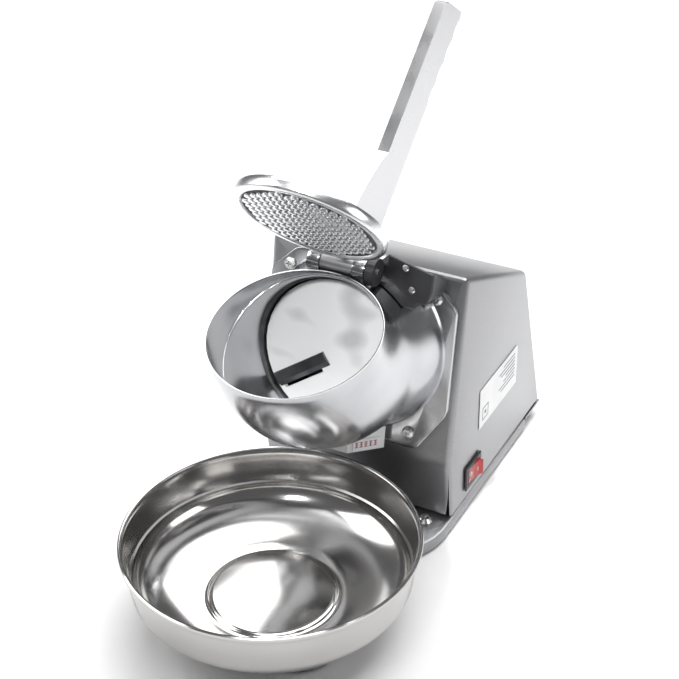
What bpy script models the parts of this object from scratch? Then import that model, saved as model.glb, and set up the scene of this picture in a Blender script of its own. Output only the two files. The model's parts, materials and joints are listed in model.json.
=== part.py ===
"""Shaved ice machine: housing, tilting press lever, ice hopper, blade disc, motor and serving bowl.

Metres, +Z up, origin under the middle of the whole machine on the bench. -Y is the user's side.
"""

import math

import bmesh
import bpy
from mathutils import Vector

# Overall sizes
LENGTH = 0.4156  # bowl's front edge to the foot of the housing's back
HOUSING_WIDTH = 0.155
HOUSING_DEPTH = 0.1785  # at the foot
HOUSING_RISE = 0.1976  # platform's top to the housing's top front edge
HOUSING_BACK_RISE = 0.1444  # platform's top to the housing's top back edge
HOUSING_BACK_SET = 0.0445  # top back edge in from the foot of the back
FOLD_RISE = 0.0537  # platform's top to the fold of the front
FOLD_FORWARD = 0.0057  # fold ahead of the foot of the front
LEAN = math.radians(10)  # front above the fold leans back, and the motor's axis tips up as much
WALL = 0.0016
CORNER = 0.0045
GAP = 0.0003  # between pieces that touch
CUTTER_MORE = 0.01  # cutters run on past what they cut

# Platform and feet
PLATFORM_RISE = 0.012
PLATFORM_LIFT = 0.001  # rim above the bench
PLATFORM_WALL = 0.0025
TONGUE_HALF = 0.064
TONGUE_REACH = 0.055  # ahead of the bowl's middle
TONGUE_FLARE = 0.045  # length over which it widens to the housing
SKIRT_SHORT = 0.0245  # its skirt stops this far ahead of the housing's back
FOOT_RADIUS = 0.013
FOOT_INSET = 0.022

# Bowl
BOWL_RADIUS = 0.105
BOWL_DEPTH = 0.0534
BOWL_SHOULDER = 0.028  # below the rim
BOWL_SHOULDER_RADIUS = 0.099
BOWL_BASE_RADIUS = 0.0495
BOWL_WALL = 0.0012

# Hopper: a drum on the motor's axis, then an elbow turned about the hinge
AXIS_UP_FACE = 0.0838  # from the fold, along the front
DRUM_LENGTH = 0.039
ELBOW_RADIUS = 0.069
ELBOW_TURN = math.radians(65.4)
FLANGE_THICK = 0.006
FLANGE_HALF = HOUSING_WIDTH / 2 - 0.004
FLANGE_TOP = ELBOW_RADIUS - 0.0105
FLANGE_BOTTOM = 0.075
FLANGE_CORNER = 0.010
BORE_RADIUS = 0.0568
HOPPER_WALL = 0.0034
ROOT_RADIUS = BORE_RADIUS + 0.0102
LUG_INNER = 0.0125
LUG_THICK = 0.009
LUG_RADIUS = 0.0085
LUG_SEAT = 0.0002  # lug's foot outside the bore
PIN_RADIUS = 0.003
CHUTE_FRONT = 0.036  # ahead of the face
CHUTE_BACK = 0.012
CHUTE_FRONT_HALF = 0.012
CHUTE_BACK_HALF = 0.030
CHUTE_DROP = 0.077  # below the axis
CHUTE_WALL = 0.0018

# Blade disc and drive
DISC_SET_BACK = 0.0033  # disc's face behind the mouth of the drum
DISC_CLEARANCE = 0.0016
DISC_THICK = 0.003
HUB_RADIUS = 0.012
BLADE_WIDTH = 0.011
BLADE_THICK = 0.0022
SLOT_WIDTH = 0.0025  # ahead of the blade's edge
BLADE_ANGLE = math.radians(215)
SHAFT_RADIUS = 0.005
RUNNING = 0.00035  # running clearance
MOTOR_RADIUS = 0.034
MOTOR_LENGTH = 0.044  # laminated core
ROTOR_RADIUS = 0.0205
BEARING_RADIUS = 0.013
BEARING_WIDTH = 0.008
FAN_RADIUS = 0.028

# Lever and press plate
OPEN_ANGLE = math.radians(39.4)  # lever above level, leaning back
PLATE_ANGLE = OPEN_ANGLE + math.pi / 2  # plate's middle seen from the hinge
LEVER_SWING = math.radians(122)
LEVER_LENGTH = 0.219
LEVER_WIDTH = 0.033
LEVER_THICK = 0.009
LEVER_STEP = 0.087  # hinge to the start of the grip
PLATE_RADIUS = BORE_RADIUS - 0.0033
PLATE_OFFSET = ELBOW_RADIUS - 0.0015  # hinge to the plate's middle
PLATE_THICK = 0.008
PLATE_SKIN = 0.003
PLATE_FOOT = 0.0066  # back of the lever's foot behind the plate's face

# Switches and labels
CAM_RADIUS = 0.009
CAM_RISE = 0.001  # over the lever's swing
CAM_PLACE = LUG_INNER + LUG_THICK + 0.0045  # right of the middle
CAM_WIDTH = 0.006
PLUNGER_RADIUS = 0.0013
PLUNGER_DROP = 0.003  # below the hinge, along the front
PLUNGER_LENGTH = 0.0126
PLUNGER_FREE = 0.0004  # short of the cam when the lever is up
CASE_OUT = 0.034  # ahead of the front
CASE_WALL = 0.0022
CASE_SLOPE = 0.22  # fall of its top towards the side
CASE_FALL = 0.0135  # fall of its top towards the flange
POCKET_OUT = 0.0133  # where the switch's pocket starts, ahead of the front
ROCKER_LENGTH = 0.028
ROCKER_HEIGHT = 0.021
SWITCH_BACK = 0.0365  # behind the foot of the front
SWITCH_RISE = 0.022  # above the platform
LABEL_LENGTH = 0.072
LABEL_HEIGHT = 0.034
LABEL_RISE = 0.0525  # above the platform
SHEET = 0.0005

# Places that follow from the sizes
FRONT_FOOT_Y = LENGTH / 2 - HOUSING_DEPTH
BOWL_Y = -LENGTH / 2 + BOWL_RADIUS
FOLD = Vector((FRONT_FOOT_Y - FOLD_FORWARD, PLATFORM_RISE + FOLD_RISE))
FACE = Vector((FOLD.x + AXIS_UP_FACE * math.sin(LEAN), FOLD.y + AXIS_UP_FACE * math.cos(LEAN)))
MOUTH = GAP + FLANGE_THICK + DRUM_LENGTH  # drum's mouth ahead of the face, along the axis
DISC_FACE = MOUTH - DISC_SET_BACK
HALF = HOUSING_WIDTH / 2


def clear_scene():
    for old in list(bpy.data.objects):
        bpy.data.objects.remove(old, do_unlink=True)


def paint(name, colour, roughness, metallic):
    look = bpy.data.materials.new(name)
    look.use_nodes = True
    shader = look.node_tree.nodes["Principled BSDF"]
    shader.inputs["Base Color"].default_value = (*colour, 1)
    shader.inputs["Roughness"].default_value = roughness
    shader.inputs["Metallic"].default_value = metallic
    look.diffuse_color = (*colour, 1)
    return look


def frame(name, location, tip=0.0):
    """An empty, tipped about X."""
    empty = bpy.data.objects.new(name, None)
    bpy.context.collection.objects.link(empty)
    empty.location = location
    empty.rotation_euler = (tip, 0, 0)
    return empty


def place(bm, name, look, parent=None, smooth=35):
    bmesh.ops.recalc_face_normals(bm, faces=bm.faces)
    mesh = bpy.data.meshes.new(name)
    bm.to_mesh(mesh)
    bm.free()
    mesh.shade_smooth()
    mesh.set_sharp_from_angle(angle=math.radians(smooth))
    piece = bpy.data.objects.new(name, mesh)
    bpy.context.collection.objects.link(piece)
    piece.parent = parent
    if look:
        mesh.materials.append(look)
    else:
        piece.hide_render = True
        piece.display_type = "WIRE"
    return piece


def add_prism(bm, outline, low, high, to_space=lambda a, b, h: (a, b, h)):
    rings = [[bm.verts.new(to_space(a, b, h)) for a, b in outline] for h in (low, high)]
    bm.faces.new(rings[0][::-1])
    bm.faces.new(rings[1])
    for i in range(len(outline)):
        j = (i + 1) % len(outline)
        bm.faces.new((rings[0][i], rings[0][j], rings[1][j], rings[1][i]))


def prism(name, outline, low, high, look=None, parent=None):
    """An outline in X and Y, raised from low to high along Z."""
    bm = bmesh.new()
    add_prism(bm, outline, low, high)
    return place(bm, name, look, parent)


def side_prism(name, outline, low, high, look=None, parent=None):
    """An outline in Y and Z, drawn out along X."""
    bm = bmesh.new()
    add_prism(bm, outline, low, high, lambda a, b, h: (h, a, b))
    return place(bm, name, look, parent)


def box(name, low, high, look=None, parent=None):
    return prism(name, rectangle(low[0], high[0], low[1], high[1]), low[2], high[2], look, parent)


def rectangle(left, right, low, high):
    return [(left, low), (right, low), (right, high), (left, high)]


def arc(centre, radius, start, end, steps):
    """Points on an arc, both ends included, angles in degrees."""
    angles = [math.radians(start + (end - start) * i / steps) for i in range(steps + 1)]
    return [(centre[0] + radius * math.cos(a), centre[1] + radius * math.sin(a)) for a in angles]


def turned(name, profile, look=None, parent=None, steps=32, along="Z", at=(0, 0, 0)):
    """A closed profile of (radius, height) points turned about an axis."""
    bm = bmesh.new()
    rings = []
    for radius, height in profile:
        count = steps if radius > 1e-9 else 1
        ring = []
        for i in range(count):
            a = 2 * math.pi * i / steps
            x, y = radius * math.cos(a), radius * math.sin(a)
            spot = {"Z": (x, y, height), "X": (height, x, y), "Y": (y, height, x)}[along]
            ring.append(bm.verts.new(Vector(spot) + Vector(at)))
        rings.append(ring)
    for i, ring in enumerate(rings):
        join_rings(bm, ring, rings[(i + 1) % len(rings)])
    return place(bm, name, look, parent)


def join_rings(bm, ring, other):
    steps = max(len(ring), len(other))
    if len(ring) == 1 and len(other) == 1:
        return
    for i in range(steps):
        j = (i + 1) % steps
        corners = [ring[i % len(ring)], ring[j % len(ring)], other[j % len(other)], other[i % len(other)]]
        bm.faces.new(list(dict.fromkeys(corners)))


def rod(name, radius, low, high, look=None, parent=None, steps=20, along="Z", at=(0, 0, 0)):
    return turned(name, [(0, low), (radius, low), (radius, high), (0, high)], look, parent, steps, along, at)


def rods(name, radius, spots, low, high, parent, steps=12):
    """One cutter with a round bar at each spot."""
    bm = bmesh.new()
    for x, y in spots:
        outline = arc((x, y), radius, 0, 360 - 360 / steps, steps - 1)
        add_prism(bm, outline, low, high)
    return place(bm, name, None, parent)


def boolean(piece, tool, operation):
    change = piece.modifiers.new(tool.name, "BOOLEAN")
    change.operation = operation
    change.solver = "EXACT"
    change.object = tool


def cut(piece, *tools):
    for tool in tools:
        boolean(piece, tool, "DIFFERENCE")


def fuse(piece, *tools):
    for tool in tools:
        boolean(piece, tool, "UNION")


def soften(piece, width, segments=2, angle=40):
    bevel = piece.modifiers.new("edges", "BEVEL")
    bevel.width = width
    bevel.segments = segments
    bevel.limit_method = "ANGLE"
    bevel.angle_limit = math.radians(angle)


def inset(outline, depth):
    """The outline of a convex shape, drawn in by depth."""
    middle = sum((Vector(p) for p in outline), Vector((0, 0))) / len(outline)
    lines = []
    for i, point in enumerate(outline):
        a, b = Vector(point), Vector(outline[(i + 1) % len(outline)])
        normal = Vector((a.y - b.y, b.x - a.x)).normalized()
        if (middle - a).dot(normal) < 0:
            normal = -normal
        lines.append((normal, normal.dot(a) + depth))
    points = []
    for i, (n, d) in enumerate(lines):
        m, e = lines[i - 1]
        across = m.x * n.y - m.y * n.x
        points.append(((e * n.y - d * m.y) / across, (m.x * d - n.x * e) / across))
    return points


def screw(name, parent, spot, head_radius, head_rise, shank_radius, shank_depth, look, steps=16):
    """A round head screw standing on its parent's local Z at spot; the larger ones have a cross recess."""
    x, y, z = spot
    dome = [(head_radius, z), (head_radius, z + 0.35 * head_rise), (0.62 * head_radius, z + head_rise)]
    profile = [(0, z - shank_depth), (shank_radius, z - shank_depth), (shank_radius, z)]
    piece = turned(name, profile + dome + [(0, z + head_rise)], look, parent, steps, at=(x, y, 0))
    if steps < 16:
        return piece
    arm, blade = 0.52 * head_radius, 0.11 * head_radius
    outline = [(arm, -blade), (arm, blade), (blade, blade), (blade, arm), (-blade, arm), (-blade, blade)]
    outline += [(-a, -b) for a, b in outline]
    outline = [(x + a, y + b) for a, b in outline]
    cut(piece, prism(name + "_cross", outline, z + 0.4 * head_rise, z + 2 * head_rise, None, parent))
    return piece


def base_outline(draw_in=0.0):
    """Platform seen from above: square behind, narrowing to a round-cornered tongue under the bowl."""
    half, tongue = HALF - draw_in, TONGUE_HALF - draw_in
    back, front = LENGTH / 2 - SKIRT_SHORT - draw_in, BOWL_Y - TONGUE_REACH + draw_in
    shoulder = FRONT_FOOT_Y - 0.012
    corner, nose = 0.008 - 0.5 * draw_in, 0.030 - 0.5 * draw_in
    right = arc((tongue - nose, front + nose), nose, -90, 0, 6)
    for i in range(5):
        t = i / 4
        ease = t * t * (3 - 2 * t)
        right.append((tongue + (half - tongue) * ease, shoulder - TONGUE_FLARE * (1 - t)))
    right += arc((half - corner, back - corner), corner, 0, 90, 4)
    return right + [(-x, y) for x, y in reversed(right)]


def housing_outline():
    foot = PLATFORM_RISE + GAP
    return [
        (FRONT_FOOT_Y, foot),
        tuple(FOLD),
        (FOLD.x + (HOUSING_RISE - FOLD_RISE) * math.tan(LEAN), PLATFORM_RISE + HOUSING_RISE),
        (LENGTH / 2 - HOUSING_BACK_SET, PLATFORM_RISE + HOUSING_BACK_RISE),
        (LENGTH / 2, foot),
    ]


def make_base(looks):
    platform = prism("base_platform", base_outline(), PLATFORM_LIFT, PLATFORM_RISE, looks["housing"])
    soften(platform, 0.0025, 2, 60)
    skirt_end = LENGTH / 2 - SKIRT_SHORT
    low, high = (GAP - HALF, skirt_end - 0.006, PLATFORM_RISE - 0.8 * PLATFORM_WALL), (HALF - GAP, LENGTH / 2)
    fuse(platform, box("platform_tail", low, (*high, PLATFORM_RISE)))
    hollow = base_outline(PLATFORM_WALL)
    cut(platform, prism("platform_hollow", hollow, -0.01, PLATFORM_RISE - PLATFORM_WALL))
    feet = []
    for y in (BOWL_Y - TONGUE_REACH + FOOT_INSET + 0.012, skirt_end - FOOT_INSET):
        for x in (-1, 1):
            half = (HALF if y > 0 else TONGUE_HALF) - FOOT_INSET
            feet.append((x * half, y))
    top = PLATFORM_RISE - PLATFORM_WALL - GAP
    for i, (x, y) in enumerate(feet):
        profile = [(0, 0.0015), (0.6 * FOOT_RADIUS, 0), (FOOT_RADIUS, 0), (0.8 * FOOT_RADIUS, 0.004),
                   (0.5 * FOOT_RADIUS, top), (0, top)]
        turned(f"suction_foot_{i + 1}", profile, looks["rubber"], None, 20, at=(x, y, 0))
    return platform


def make_housing(looks):
    outline = housing_outline()
    shell = side_prism("housing_shell", outline, -HALF, HALF, looks["housing"])
    soften(shell, CORNER, 3, 12)
    room = inset(outline, WALL)
    drop = Vector((0, -0.02))
    room[0] = tuple(Vector(room[0]) + drop)
    room[-1] = tuple(Vector(room[-1]) + drop)
    cut(shell, side_prism("housing_room", room, -HALF + WALL, HALF - WALL))
    return shell


def make_back(looks, shell):
    """Vented cover over an opening in the housing's back, on a frame with Z straight out of the back."""
    top = Vector((LENGTH / 2 - HOUSING_BACK_SET, PLATFORM_RISE + HOUSING_BACK_RISE))
    foot = Vector((LENGTH / 2, PLATFORM_RISE))
    slope = math.atan2(HOUSING_BACK_SET, HOUSING_BACK_RISE)
    middle = (top + foot) / 2
    rear = frame("back_frame", (0, middle.x, middle.y), -(math.pi / 2 - slope))
    half, reach = HALF - 0.012, (top - foot).length / 2 - 0.016
    lap = 0.007
    cut(shell, box("back_opening", (-half + lap, -reach + lap, -0.02), (half - lap, reach - lap, 0.02),
                   None, rear))
    cover = box("rear_cover", (-half, -reach, GAP), (half, reach, GAP + 0.0015), looks["housing"], rear)
    slots = bmesh.new()
    for row in range(7):
        y = -0.020 + 0.0075 * row
        for side in (-1, 1):
            spots = rectangle(side * 0.026 - 0.019, side * 0.026 + 0.019, y - 0.0015, y + 0.0015)
            add_prism(slots, spots, -0.01, 0.01)
    cut(cover, place(slots, "vent_slots", None, rear))
    spots = [(x * (half - lap / 2), y * (reach - 0.010)) for x in (-1, 1) for y in (-1, 1)]
    holes = rods("cover_holes", 0.0018, spots, -0.02, 0.02, rear)
    cut(cover, holes)
    cut(shell, holes)
    for i, (x, y) in enumerate(spots):
        screw(f"cover_screw_{i + 1}", rear, (x, y, 2 * GAP + 0.0015), 0.0032, 0.002, 0.0015, 0.006,
              looks["screw"], 10)
    inlet = (-0.045, reach - 0.024)
    cut(cover, rods("inlet_hole", 0.0065, [inlet], -0.02, 0.02, rear, 16))
    z = GAP + 0.0015
    profile = [(0.0036, -0.004), (0.0062, -0.004), (0.0062, z + GAP), (0.0085, z + GAP), (0.0078, z + 0.004),
               (0.0036, z + 0.004)]
    turned("cord_inlet_gland", profile, looks["black"], rear, 20, at=(*inlet, 0))


def flange_outline():
    """Corners cut at a slant and rounded, narrower at the foot."""
    corner, side = FLANGE_CORNER, FLANGE_HALF - FLANGE_CORNER
    right = arc((side - 0.0165, corner - FLANGE_BOTTOM), corner, -90, -45, 2)
    right += arc((side, 0.036 - FLANGE_BOTTOM), corner, -40, 0, 2)
    right += arc((side, FLANGE_TOP - 0.0246), corner, 0, 45, 2)
    right += arc((side - 0.0146, FLANGE_TOP - corner), corner, 45, 90, 2)
    return right + [(-x, y) for x, y in reversed(right)]


def elbow_ring(bm, radius, turn, steps):
    """A round section of the elbow, turned about the hinge; the face frame has Y up it and Z out of it."""
    ring = []
    for i in range(steps):
        a = 2 * math.pi * i / steps
        reach = ELBOW_RADIUS - radius * math.sin(a)
        up, out = ELBOW_RADIUS - reach * math.cos(turn), MOUTH + reach * math.sin(turn)
        ring.append(bm.verts.new((radius * math.cos(a), up, out)))
    return ring


def drum_ring(bm, radius, height, steps):
    ring = []
    for i in range(steps):
        a = 2 * math.pi * i / steps
        ring.append(bm.verts.new((radius * math.cos(a), radius * math.sin(a), height)))
    return ring


def make_hopper(looks, face, shell):
    steps, bends = 40, 7
    outer = BORE_RADIUS + HOPPER_WALL
    back, floor = GAP + 0.001, GAP + 0.0045
    bm = bmesh.new()
    rings = [drum_ring(bm, ROOT_RADIUS, back, steps)]
    rings.append(drum_ring(bm, ROOT_RADIUS, GAP + FLANGE_THICK + 0.004, steps))
    rings.append(drum_ring(bm, 0.5 * (outer + ROOT_RADIUS), 0.5 * MOUTH + 0.003, steps))
    rings += [elbow_ring(bm, outer, ELBOW_TURN * i / bends, steps) for i in range(bends + 1)]
    rings += [elbow_ring(bm, BORE_RADIUS, ELBOW_TURN * (1 - i / bends), steps) for i in range(bends + 1)]
    rings.append(drum_ring(bm, BORE_RADIUS, floor, steps))
    for ring, other in zip(rings, rings[1:]):
        join_rings(bm, ring, other)
    bm.faces.new(rings[0])
    bm.faces.new(rings[-1])
    hopper = place(bm, "hopper", looks["cast"], face)
    flange = prism("flange_body", flange_outline(), GAP, GAP + FLANGE_THICK, None, face)
    soften(flange, 0.0018, 2, 60)
    fuse(hopper, flange)
    hinge_up, hinge_out = ELBOW_RADIUS, MOUTH
    for side in (-1, 1):
        low, high = sorted((side * LUG_INNER, side * (LUG_INNER + LUG_THICK)))
        seat = BORE_RADIUS + LUG_SEAT
        outline = [(seat, hinge_out - 0.014), (seat, hinge_out + 0.006)]
        outline += arc((hinge_up, hinge_out), LUG_RADIUS, 75, -75, 6)
        bm = bmesh.new()
        add_prism(bm, outline, low, high, lambda a, b, h: (h, a, b))
        fuse(hopper, place(bm, f"lug_body_{'left' if side < 0 else 'right'}", None, face))
    bore = drum_cutter("bore_clear", face, BORE_RADIUS - 0.0002, floor + 0.0002, steps, bends)
    cut(hopper, bore)
    cut(hopper, rod("pin_hole", PIN_RADIUS + RUNNING, -0.04, 0.04, None, face, 16, "X",
                    (0, hinge_up, hinge_out)))
    cut(hopper, rod("shaft_hole", 0.0135, -0.01, 0.02, None, face, 24))
    cut(shell, rod("shaft_hole_panel", 0.016, -0.01, 0.01, None, face, 24))
    spots = flange_spots()
    holes = rods("flange_holes", 0.0024, spots, -0.02, 0.02, face)
    cut(hopper, holes)
    cut(shell, holes)
    for i, (x, y) in enumerate(spots):
        screw(f"flange_screw_{i + 1}", face, (x, y, 2 * GAP + FLANGE_THICK), 0.0045, 0.0028, 0.002, 0.012,
              looks["screw"])
    return hopper


def flange_spots():
    top, foot = (FLANGE_HALF - 0.0155, FLANGE_TOP - 0.014), (FLANGE_HALF - 0.028, 0.0125 - FLANGE_BOTTOM)
    return [(side * x, y) for side in (-1, 1) for x, y in (top, foot)]


def drum_cutter(name, face, radius, floor, steps, bends):
    bm = bmesh.new()
    rings = [drum_ring(bm, radius, floor, steps)]
    rings += [elbow_ring(bm, radius, ELBOW_TURN * i / bends, steps) for i in range(bends + 1)]
    bm.faces.new(rings[0][::-1])
    bm.faces.new(rings[-1])
    for ring, other in zip(rings, rings[1:]):
        join_rings(bm, ring, other)
    return place(bm, name, None, face)


def chute_outline(draw_in=0.0):
    """Across and out from the face: narrow in front, wide behind."""
    corners = [(-CHUTE_BACK_HALF, CHUTE_BACK), (CHUTE_BACK_HALF, CHUTE_BACK), (CHUTE_FRONT_HALF, CHUTE_FRONT),
               (-CHUTE_FRONT_HALF, CHUTE_FRONT)]
    return inset(corners, draw_in) if draw_in else corners


def make_chute(looks, face, hopper):
    def upright(name, outline, low, high, look=None):
        bm = bmesh.new()
        add_prism(bm, outline, low, high, lambda a, b, h: (a, h, b))
        return place(bm, name, look, face)

    chute = upright("ice_chute", chute_outline(), -CHUTE_DROP, -0.045, looks["chute"])
    cut(chute, upright("chute_passage", chute_outline(CHUTE_WALL), -CHUTE_DROP - 0.01, -0.03))
    clear = ROOT_RADIUS + GAP
    profile = [(0, 0.0), (clear, 0.0), (clear, GAP + FLANGE_THICK + 0.004)]
    profile += [(0.5 * (BORE_RADIUS + HOPPER_WALL + ROOT_RADIUS) + GAP, 0.5 * MOUTH + 0.003)]
    profile += [(BORE_RADIUS + HOPPER_WALL + GAP, MOUTH), (0, MOUTH)]
    cut(chute, turned("chute_saddle", profile, None, face, 40))
    cut(hopper, upright("chute_mouth", chute_outline(CHUTE_WALL + 0.001), -CHUTE_DROP - 0.005, -0.040))
    a, b = Vector((CHUTE_BACK_HALF, CHUTE_BACK)), Vector((CHUTE_FRONT_HALF, CHUTE_FRONT))
    along = (b - a).normalized()
    out = Vector((along.y, -along.x))
    start, end = a + along * 0.004, a + along * 0.026
    near, far = GAP, GAP + SHEET
    outline = [tuple(start + out * near), tuple(end + out * near), tuple(end + out * far),
               tuple(start + out * far)]
    upright("chute_label", outline, -CHUTE_DROP + 0.0015, -CHUTE_DROP + 0.0095, looks["label"])


def make_disc(looks, face):
    radius = BORE_RADIUS - DISC_CLEARANCE
    back = DISC_FACE - DISC_THICK
    hub = HUB_RADIUS
    profile = [(SHAFT_RADIUS + RUNNING, back - 0.012), (hub, back - 0.012), (hub, back), (radius, back),
               (radius, DISC_FACE), (0, DISC_FACE), (0, back - 0.001), (SHAFT_RADIUS + RUNNING, back - 0.001)]
    disc = turned("blade_disc", profile, looks["polished"], face, 40)
    c, s = math.cos(BLADE_ANGLE), math.sin(BLADE_ANGLE)

    def along_blade(near, far, low, high):
        corners = [(near, low), (far, low), (far, high), (near, high)]
        return [(a * c - b * s, a * s + b * c) for a, b in corners]

    inner, outer = hub - 0.0043, radius - 0.0015
    half = BLADE_WIDTH / 2
    gullet = along_blade(inner + 0.008, outer - 0.003, half - 0.001, half + SLOT_WIDTH)
    slot = prism("ice_slot", gullet, back - 0.01, DISC_FACE + 0.01, None, face)
    cut(disc, slot)
    low = DISC_FACE + GAP
    bm = bmesh.new()
    for height, edge in ((low, half), (low + BLADE_THICK, half - 0.0035)):
        for a, b in along_blade(inner, outer, -half, edge):
            bm.verts.new((a, b, height))
    bm.verts.ensure_lookup_table()
    bm.faces.new([bm.verts[i] for i in (3, 2, 1, 0)])
    bm.faces.new([bm.verts[i] for i in (4, 5, 6, 7)])
    for i in range(4):
        j = (i + 1) % 4
        bm.faces.new([bm.verts[k] for k in (i, j, 4 + j, 4 + i)])
    blade = place(bm, "blade", looks["steel"], face)
    spots = [(r * c + 0.0015 * s, r * s - 0.0015 * c) for r in (inner + 0.014, outer - 0.010)]
    holes = rods("blade_holes", 0.0017, spots, back - 0.01, low + 0.0012, face)
    cut(disc, holes)
    cut(blade, holes)
    flip = frame("disc_back_frame", (0, 0, back - GAP), math.pi)
    flip.parent = face
    for i, (x, y) in enumerate(spots):
        screw(f"blade_screw_{i + 1}", flip, (x, -y, 0), 0.0026, 0.0016, 0.0014, DISC_THICK + 0.001,
              looks["screw"], 10)


def make_drive(looks, face):
    """Seal, shaft, bearings, motor and fan, all on the axis; heights are along it, negative inside."""
    front = -WALL - GAP  # front bell's seat on the panel
    core_front = front - 0.026
    core_back = core_front - MOTOR_LENGTH
    bell_back = core_back - 0.012
    bolt_radius = 0.0275
    shaft_end = bell_back - 0.016
    rod("drive_shaft", SHAFT_RADIUS, shaft_end, DISC_FACE - DISC_THICK - 0.002, looks["steel"], face, 20)
    r = SHAFT_RADIUS + RUNNING
    turned("shaft_seal", [(r, GAP), (0.0132, GAP), (0.0132, GAP + 0.0045), (r, GAP + 0.0045)],
           looks["rubber"], face, 24)
    seat = BEARING_RADIUS + GAP
    bearings = {"front_bearing": front - 0.004, "rear_bearing": bell_back + 0.003 + BEARING_WIDTH}
    for name, top in bearings.items():
        low = top - BEARING_WIDTH
        turned(name, [(r, low), (BEARING_RADIUS, low), (BEARING_RADIUS, top), (r, top)], looks["steel"],
               face, 24)
    low = core_front + GAP
    pocket = bearings["front_bearing"] - BEARING_WIDTH - GAP
    profile = [(seat, front), (0.030, front), (0.030, front - 0.004), (0.022, front - 0.007),
               (0.024, front - 0.016),
               (MOTOR_RADIUS, front - 0.020), (MOTOR_RADIUS, low), (0.024, low), (0.024, low + 0.004),
               (r + 0.001, pocket - 0.002), (r + 0.001, pocket), (seat, pocket)]
    bell = turned("motor_front_bell", profile, looks["motor"], face, 24)
    low, high = bell_back, core_back - GAP
    pocket = bearings["rear_bearing"] - BEARING_WIDTH - GAP
    profile = [(r + 0.001, low), (MOTOR_RADIUS - 0.004, low), (MOTOR_RADIUS, low + 0.004),
               (MOTOR_RADIUS, high),
               (0.024, high), (0.022, pocket + 0.006), (0.017, pocket + 0.006),
               (0.017, pocket + BEARING_WIDTH),
               (seat, pocket + BEARING_WIDTH), (seat, pocket), (r + 0.001, pocket)]
    back_bell = turned("motor_rear_bell", profile, looks["motor"], face, 24)
    core = [(ROTOR_RADIUS + 0.001, core_back), (MOTOR_RADIUS, core_back), (MOTOR_RADIUS, core_front),
            (ROTOR_RADIUS + 0.001, core_front)]
    stator = turned("motor_stator", core, looks["core"], face, 24)
    r_on = SHAFT_RADIUS + GAP
    inner = [(r_on, core_back + 0.002), (ROTOR_RADIUS, core_back + 0.002), (ROTOR_RADIUS, core_front - 0.002),
             (r_on, core_front - 0.002)]
    turned("motor_rotor", inner, looks["core"], face, 24)
    spots = [(bolt_radius * math.cos(a),
              bolt_radius * math.sin(a)) for a in (math.radians(45 + 90 * i) for i in range(4))]
    holes = rods("motor_bolt_holes", 0.0018, spots, bell_back - 0.005, front - 0.002, face, 8)
    cut(bell, holes)
    cut(stator, holes)
    cut(back_bell, holes)
    flip = frame("motor_back_frame", (0, 0, bell_back - GAP), math.pi)
    flip.parent = face
    for i, (x, y) in enumerate(spots):
        screw(f"motor_bolt_{i + 1}", flip, (x, -y, 0), 0.0032, 0.0018, 0.0015, bell_back * -1 + front - 0.006,
              looks["screw"], 10)
    hub_top = bell_back - 0.0045
    fan = turned("cooling_fan", [(r_on, hub_top - 0.009), (0.010, hub_top - 0.009), (0.010, hub_top - 0.0015),
                                 (FAN_RADIUS, hub_top - 0.0015), (FAN_RADIUS, hub_top), (r_on, hub_top)],
                 looks["black"], face, 24)
    for i in range(8):
        a = 2 * math.pi * i / 8
        c, s = math.cos(a), math.sin(a)
        corners = [(0.009, -0.0007), (FAN_RADIUS - 0.001, -0.0007), (FAN_RADIUS - 0.001, 0.0007),
                   (0.009, 0.0007)]
        outline = [(p * c - q * s, p * s + q * c) for p, q in corners]
        fuse(fan, prism(f"fan_vane_{i + 1}", outline, hub_top - 0.009, hub_top - 0.001, None, face))
    return {"low": core_back + 0.004, "high": core_front - 0.004}


def make_motor_bracket(looks, core):
    """A foot that carries the motor's core off the platform, standing square to the axis."""
    out = 0.5 * (core["low"] + core["high"])
    y = FACE.x - out * math.cos(LEAN)
    z = FACE.y + out * math.sin(LEAN)
    saddle = MOTOR_RADIUS + GAP
    foot = PLATFORM_RISE + GAP
    half = 0.030
    stand = frame("stand_frame", (0, y, z), math.pi / 2 - LEAN)
    outline = [(-half, foot), (half, foot), (half, foot + 0.004), (0.024, foot + 0.004), (0.026, z - 0.012),
               (-0.026, z - 0.012), (-0.024, foot + 0.004), (-half, foot + 0.004)]
    bm = bmesh.new()
    add_prism(bm, outline, y - 0.012, y + 0.012, lambda a, b, h: (a, h, b))
    bracket = place(bm, "motor_bracket", looks["housing"])
    cut(bracket, rod("saddle", saddle, -0.05, 0.05, None, stand, 32))
    bm = bmesh.new()
    add_prism(bm, rectangle(-0.018, 0.018, foot + 0.008, z - saddle - 0.004), y - 0.02, y + 0.02,
              lambda a, b, h: (a, h, b))
    cut(bracket, place(bm, "bracket_window", None))
    return bracket


def polar(distance, angle):
    """Back and up from the hinge, for a distance and an angle above level."""
    return (distance * math.cos(angle), distance * math.sin(angle))


def lever_space(points):
    """Along and across the lever, to back and up from the hinge."""
    c, s = math.cos(OPEN_ANGLE), math.sin(OPEN_ANGLE)
    return [(along * c - across * s, along * s + across * c) for along, across in points]


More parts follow.
